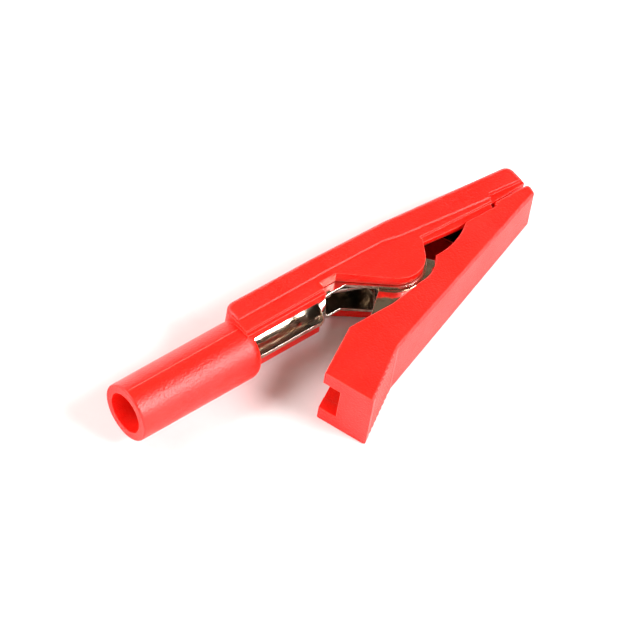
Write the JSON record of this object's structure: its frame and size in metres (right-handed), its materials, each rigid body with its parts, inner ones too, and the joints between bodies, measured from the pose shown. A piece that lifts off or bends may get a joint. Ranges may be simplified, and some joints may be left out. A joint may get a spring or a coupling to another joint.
{
  "type": "alligator clip",
  "caption": "Insulated alligator clip: red moulded covers, a barrel that takes a test lead's 4 mm plug, and sprung toothed metal jaws opened by a thumb lever.",
  "frame": {"origin": "the rear end of the metal socket in the barrel, on the barrel's axis", "axes": "+X along the barrel's axis from the lead socket to the jaws' tip, +Y from the thumb lever to the clip's back, +Z across the clip, along the pivot pin, away from the surface it lies on"},
  "size_m": [0.0549, 0.0192, 0.008],
  "materials": {
    "upper_shell_plastic": "moulded, satin gloss, slightly translucent",
    "lower_shell_plastic": "moulded, satin gloss, slightly translucent",
    "jaw_plating": "bright nickel plating",
    "lower_jaw_plating": "nickel plating, satin",
    "pin_steel": "plated, satin",
    "spring_steel": "drawn wire, plated"
  },
  "bodies": {
    "upper": {"upper_shell": "upper_shell_plastic", "upper_jaw": "jaw_plating", "pivot_pin": "pin_steel", "torsion_spring": "spring_steel"},
    "lower": {"lower_shell": "lower_shell_plastic", "lower_jaw": "lower_jaw_plating"}
  },
  "joints": [
    {"name": "jaw_pivot", "type": "hinge", "parent": "upper", "child": "lower", "pos_m": [0.03236, -0.001, 0], "axis": [0, 0, -1], "range_deg": [0, 22], "stiffness_Nm_per_rad": 0.2, "springref_deg": -22.92, "deforming": ["torsion_spring"]}
  ]
}
